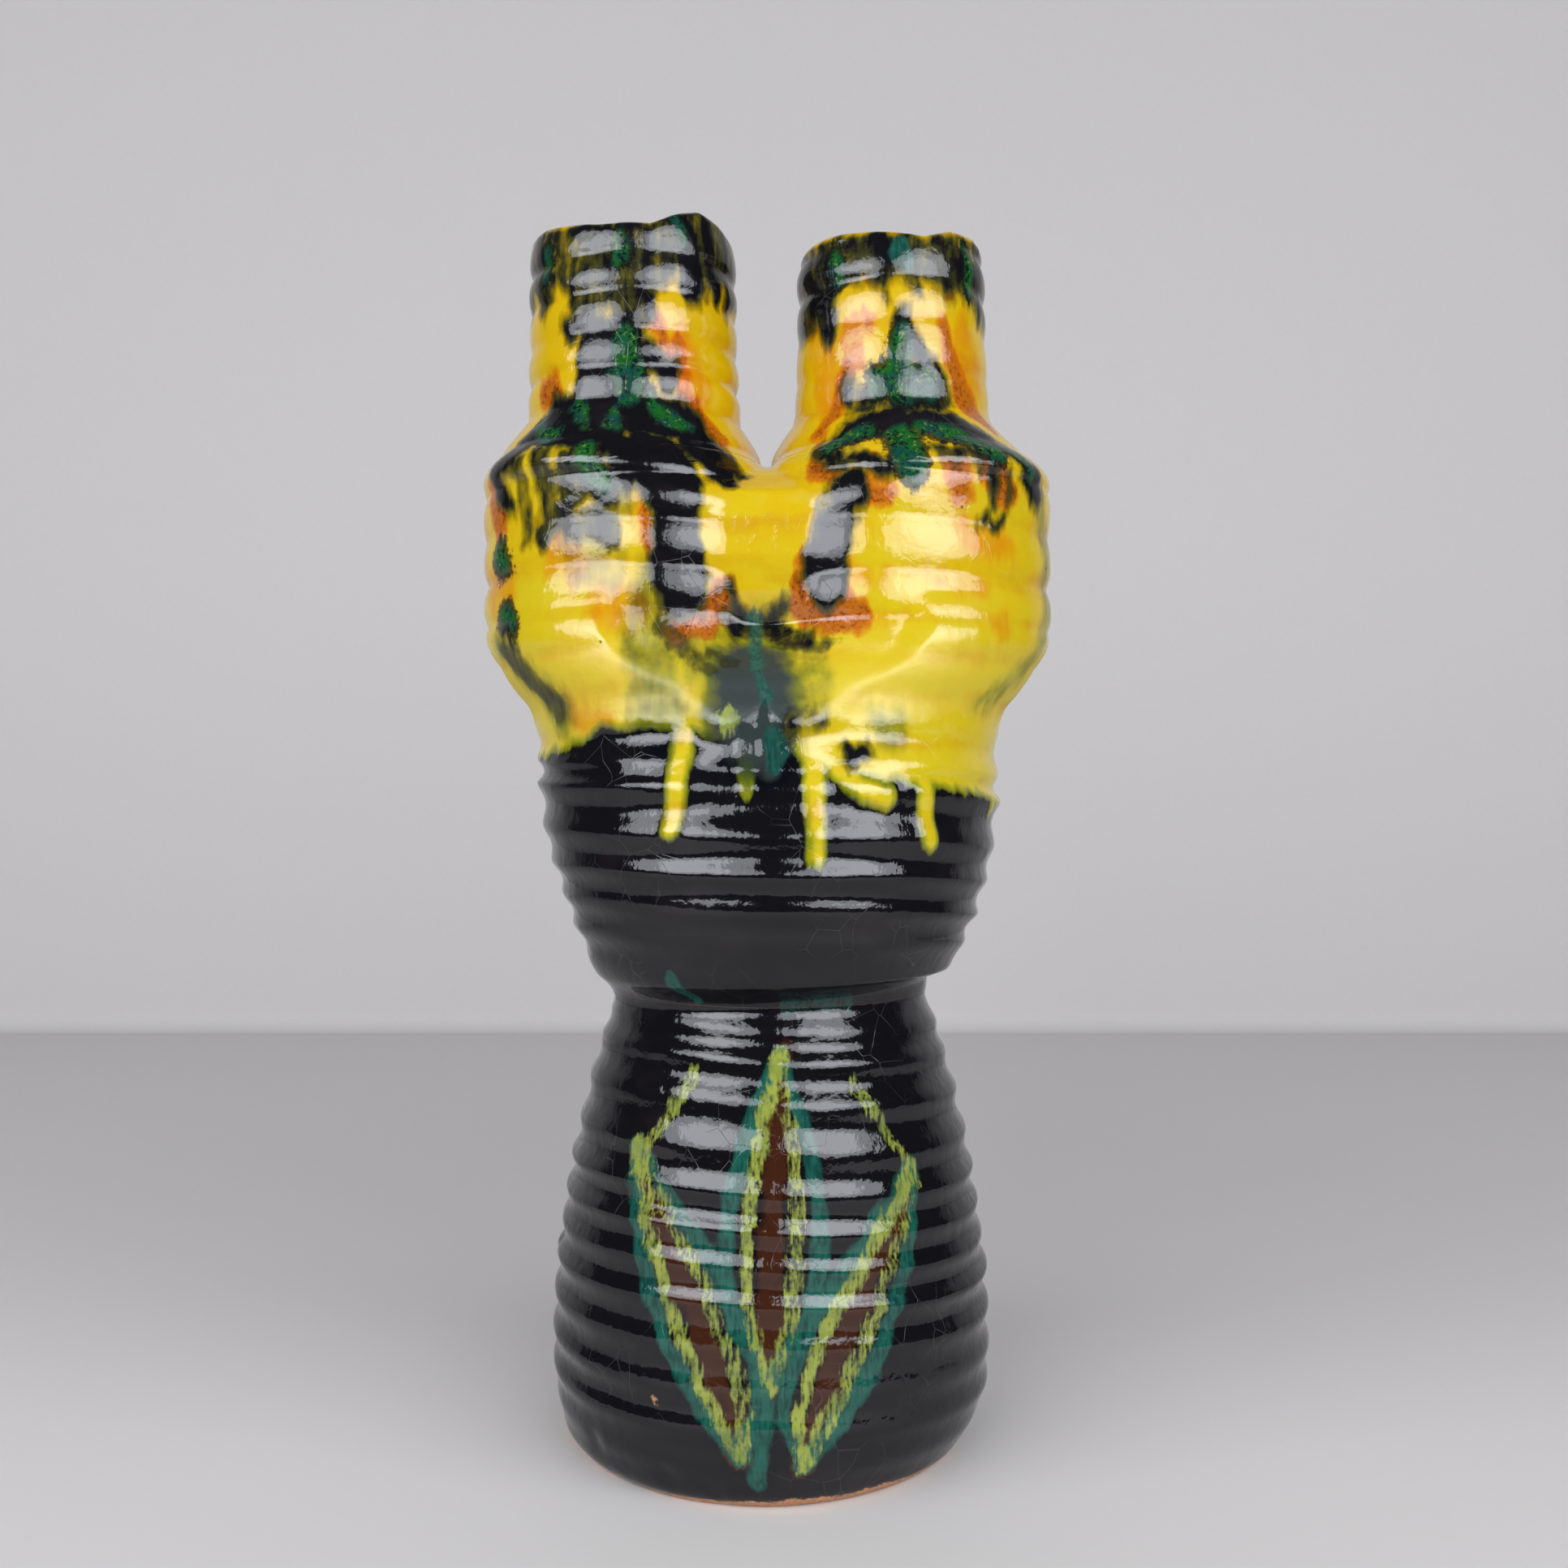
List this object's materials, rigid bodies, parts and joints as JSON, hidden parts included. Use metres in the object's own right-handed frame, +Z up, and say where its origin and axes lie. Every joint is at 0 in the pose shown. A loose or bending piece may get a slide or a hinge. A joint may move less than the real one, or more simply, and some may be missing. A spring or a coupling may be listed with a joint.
{
  "type": "vase",
  "caption": "Hand-thrown ceramic vase with a ribbed foot, a bowl and twin bulbs that end in open necks, glazed yellow over black, to stand on a table and hold stems.",
  "frame": {"origin": "centre of the flat underside of the foot, on the ground", "axes": "+Z up through the vase, front towards -Y, +X towards the narrower neck"},
  "size_m": [0.1443, 0.1106, 0.3006],
  "materials": {
    "black_glaze": "glossy black glaze with fine crazing over earthenware",
    "yellow_glaze": "glossy yellow running glaze with black, green and rust dabs",
    "bare_clay": "unglazed fired earthenware"
  },
  "bodies": {
    "root": {"foot": "black_glaze", "waist_luting_ring": "bare_clay", "bowl": "black_glaze", "belt_luting_ring": "bare_clay", "bulb_left": "yellow_glaze", "bulb_right": "yellow_glaze", "saddle_web": "yellow_glaze", "neck_luting_ring_left": "bare_clay", "neck_luting_ring_right": "bare_clay", "neck_left": "yellow_glaze", "neck_right": "yellow_glaze"}
  },
  "joints": []
}
